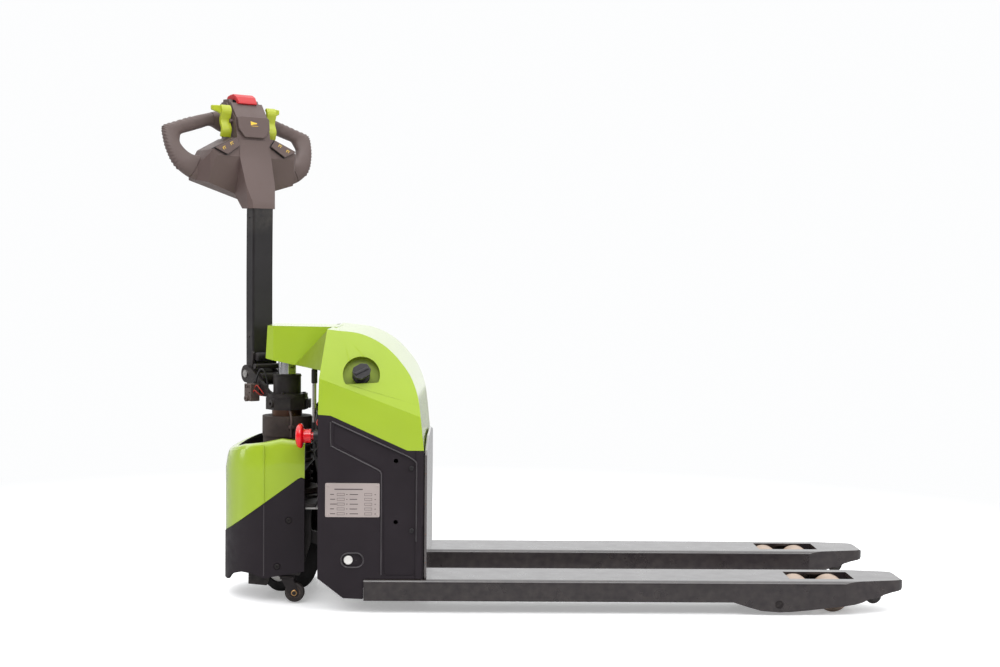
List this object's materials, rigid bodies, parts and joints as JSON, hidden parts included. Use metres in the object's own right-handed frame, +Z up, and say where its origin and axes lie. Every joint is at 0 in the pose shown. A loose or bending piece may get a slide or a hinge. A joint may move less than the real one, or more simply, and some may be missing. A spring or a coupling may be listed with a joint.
{
  "type": "pallet jack",
  "caption": "Electric walkie pallet truck: two long forks with lifting wheels, a powered drive wheel under a rounded cover and an upright tiller with looped hand grips.",
  "frame": {"origin": "on the backrest's load face, on the centre line, level with the tops of the lowered forks; the floor is 82 mm below", "axes": "+X along the forks to their tips, +Y to the truck's left, +Z up"},
  "size_m": [1.8395, 0.6214, 1.273],
  "materials": {
    "dark_steel": "satin charcoal paint",
    "bright_steel": "brushed",
    "green_plastic": "satin moulded",
    "black_steel": "satin paint",
    "black_plastic": "fine grained",
    "castor_rubber": "smooth",
    "brown_iron": "rough cast",
    "bronze": "satin",
    "brown_plastic": "matte",
    "drive_rubber": "matte",
    "grey_plastic": "fine grained",
    "grip_rubber": "ribbed",
    "lime_plastic": "gloss",
    "red_plastic": "gloss",
    "plate_aluminium": "satin",
    "battery_case": "matte",
    "chromed_steel": "polished",
    "polyurethane": "satin"
  },
  "bodies": {
    "drive_base": {"base_frame": "dark_steel", "bearing_ring": "bright_steel", "drive_cover_upper": "green_plastic", "drive_cover_lower": "black_plastic", "cover_screws": "bright_steel"},
    "castor_left": {"castor_fork_left": "bright_steel"},
    "castor_right": {"castor_fork_right": "bright_steel"},
    "castor_roller_left": {"castor_wheel_left": "castor_rubber"},
    "castor_roller_right": {"castor_wheel_right": "castor_rubber"},
    "column": {"steering_yoke": "dark_steel", "drive_motor": "dark_steel", "brake_housing": "brown_iron", "thrust_ring": "bronze", "lift_cylinder": "dark_steel", "steering_collar": "dark_steel", "tiller_bracket": "dark_steel", "pivot_pin": "bright_steel", "switch_box": "brown_plastic"},
    "drive_wheel": {"drive_tyre": "drive_rubber", "drive_hub": "bright_steel"},
    "tiller": {"tiller_arm": "black_steel", "head_front": "grey_plastic", "head_back": "grey_plastic", "hand_grips": "grip_rubber"},
    "throttle": {"throttle_paddles": "lime_plastic"},
    "belly": {"belly_button": "red_plastic"},
    "horn": {"horn_button": "grey_plastic"},
    "rocker_l": {"rocker_left": "black_plastic"},
    "rocker_r": {"rocker_right": "black_plastic"},
    "chassis": {"fork_left": "dark_steel", "fork_right": "dark_steel", "chassis_frame": "dark_steel", "backrest_plate": "dark_steel", "hood": "green_plastic", "side_cover_left": "black_plastic", "side_cover_right": "black_plastic", "nameplate": "plate_aluminium", "battery_pack": "battery_case", "pump_unit": "bright_steel", "lift_arm": "dark_steel", "ram_rod": "chromed_steel", "frame_pins": "bright_steel", "frame_screws": "bright_steel", "stop_housing": "black_plastic", "key_base": "black_plastic"},
    "stop": {"emergency_button": "red_plastic"},
    "key": {"isolator_key": "black_plastic"},
    "crank": {"lift_crank": "dark_steel"},
    "rod_left": {"push_rod_left": "dark_steel"},
    "rod_right": {"push_rod_right": "dark_steel"},
    "load_left": {"load_arm_left": "dark_steel"},
    "load_right": {"load_arm_right": "dark_steel"},
    "bogie_l": {"bogie_left": "bright_steel"},
    "bogie_r": {"bogie_right": "bright_steel"},
    "wheel_front_left": {"load_wheel_front_left": "polyurethane"},
    "wheel_rear_left": {"load_wheel_rear_left": "polyurethane"},
    "wheel_front_right": {"load_wheel_front_right": "polyurethane"},
    "wheel_rear_right": {"load_wheel_rear_right": "polyurethane"},
    "tip_roller_left": {"entry_roller_left": "polyurethane"},
    "tip_roller_right": {"entry_roller_right": "polyurethane"}
  },
  "joints": [
    {"name": "steer", "type": "hinge", "parent": "drive_base", "child": "column", "pos_m": [-0.364, 0, 0.218], "axis": [0, 0, 1], "range_deg": [-38, 142]},
    {"name": "drive_spin", "type": "hinge", "parent": "column", "child": "drive_wheel", "pos_m": [-0.364, 0, 0.023], "axis": [0.788, 0.6157, 0], "continuous": true},
    {"name": "tilt", "type": "hinge", "parent": "column", "child": "tiller", "pos_m": [-0.44896, 0.10874, 0.463], "axis": [-0.788, -0.6157, 0], "range_deg": [0, 78]},
    {"name": "throttle_turn", "type": "hinge", "parent": "tiller", "child": "throttle", "pos_m": [-0.48405, 0.15366, 1.118], "axis": [0.788, 0.6157, 0], "range_deg": [-25, 25]},
    {"name": "belly_press", "type": "slide", "parent": "tiller", "child": "belly", "axis": [0, 0, -1], "range_m": [0, 0.006]},
    {"name": "horn_press", "type": "slide", "parent": "tiller", "child": "horn", "axis": [-0.6089, 0.7793, -0.1483], "range_m": [0, 0.003]},
    {"name": "rocker_left_turn", "type": "hinge", "parent": "tiller", "child": "rocker_l", "pos_m": [-0.39859, 0.17746, 1.04811], "axis": [0.3149, 0.4091, 0.8564], "range_deg": [-3, 3]},
    {"name": "rocker_right_turn", "type": "hinge", "parent": "tiller", "child": "rocker_r", "pos_m": [-0.52782, 0.07649, 1.04811], "axis": [-0.4731, -0.2066, 0.8564], "range_deg": [-3, 3]},
    {"name": "lift", "type": "slide", "parent": "drive_base", "child": "chassis", "axis": [0, 0, 1], "range_m": [0, 0.105]},
    {"name": "stop_press", "type": "slide", "parent": "chassis", "child": "stop", "axis": [1, 0, 0], "range_m": [0, 0.005]},
    {"name": "key_turn", "type": "hinge", "parent": "chassis", "child": "key", "pos_m": [-0.15753, -0.26184, 0.4858], "axis": [0.1033, -0.9563, 0.2735], "range_deg": [0, 90]},
    {"name": "crank_turn", "type": "hinge", "parent": "chassis", "child": "crank", "pos_m": [-0.186, 0, 0.045], "axis": [0, 1, 0], "range_deg": [-35.5, 0.5]},
    {"name": "rod_left_turn", "type": "hinge", "parent": "crank", "child": "rod_left", "pos_m": [-0.208, 0.2, -0.0246], "axis": [0, 1, 0], "range_deg": [-0.5, 35.5]},
    {"name": "load_left_turn", "type": "hinge", "parent": "chassis", "child": "load_left", "pos_m": [0.842, 0.2, -0.055], "axis": [0, 1, 0], "range_deg": [-0.5, 78.1]},
    {"name": "bogie_left_turn", "type": "hinge", "parent": "load_left", "child": "bogie_l", "pos_m": [0.939, 0.2, -0.042], "axis": [0, 1, 0], "range_deg": [-78.1, 0.5]},
    {"name": "wheel_front_left_spin", "type": "hinge", "parent": "bogie_l", "child": "wheel_front_left", "pos_m": [0.981, 0.2, -0.042], "axis": [0, 1, 0], "continuous": true},
    {"name": "wheel_rear_left_spin", "type": "hinge", "parent": "bogie_l", "child": "wheel_rear_left", "pos_m": [0.897, 0.2, -0.042], "axis": [0, 1, 0], "continuous": true},
    {"name": "tip_roller_left_spin", "type": "hinge", "parent": "chassis", "child": "tip_roller_left", "pos_m": [1.078, 0.2, -0.041], "axis": [0, 1, 0], "continuous": true},
    {"name": "rod_right_turn", "type": "hinge", "parent": "crank", "child": "rod_right", "pos_m": [-0.208, -0.2, -0.0246], "axis": [0, 1, 0], "range_deg": [-0.5, 35.5]},
    {"name": "load_right_turn", "type": "hinge", "parent": "chassis", "child": "load_right", "pos_m": [0.842, -0.2, -0.055], "axis": [0, 1, 0], "range_deg": [-0.5, 78.1]},
    {"name": "bogie_right_turn", "type": "hinge", "parent": "load_right", "child": "bogie_r", "pos_m": [0.939, -0.2, -0.042], "axis": [0, 1, 0], "range_deg": [-78.1, 0.5]},
    {"name": "wheel_front_right_spin", "type": "hinge", "parent": "bogie_r", "child": "wheel_front_right", "pos_m": [0.981, -0.2, -0.042], "axis": [0, 1, 0], "continuous": true},
    {"name": "wheel_rear_right_spin", "type": "hinge", "parent": "bogie_r", "child": "wheel_rear_right", "pos_m": [0.897, -0.2, -0.042], "axis": [0, 1, 0], "continuous": true},
    {"name": "tip_roller_right_spin", "type": "hinge", "parent": "chassis", "child": "tip_roller_right", "pos_m": [1.078, -0.2, -0.041], "axis": [0, 1, 0], "continuous": true},
    {"name": "castor_left_swivel", "type": "hinge", "parent": "drive_base", "child": "castor_left", "pos_m": [-0.345, 0.16, -0.012], "axis": [0, 0, 1], "continuous": true},
    {"name": "castor_left_spin", "type": "hinge", "parent": "castor_left", "child": "castor_roller_left", "pos_m": [-0.325, 0.16, -0.055], "axis": [0, 1, 0], "continuous": true},
    {"name": "castor_right_swivel", "type": "hinge", "parent": "drive_base", "child": "castor_right", "pos_m": [-0.345, -0.16, -0.012], "axis": [0, 0, 1], "continuous": true},
    {"name": "castor_right_spin", "type": "hinge", "parent": "castor_right", "child": "castor_roller_right", "pos_m": [-0.325, -0.16, -0.055], "axis": [0, 1, 0], "continuous": true}
  ],
  "couplings": [
    {"joint": "crank_turn", "follows": "lift", "rad_per_m": -5.8178},
    {"joint": "rod_left_turn", "follows": "lift", "rad_per_m": 5.8178},
    {"joint": "load_left_turn", "follows": "lift", "rad_per_m": 12.899},
    {"joint": "bogie_left_turn", "follows": "lift", "rad_per_m": -12.899},
    {"joint": "rod_right_turn", "follows": "lift", "rad_per_m": 5.8178},
    {"joint": "load_right_turn", "follows": "lift", "rad_per_m": 12.899},
    {"joint": "bogie_right_turn", "follows": "lift", "rad_per_m": -12.899}
  ]
}
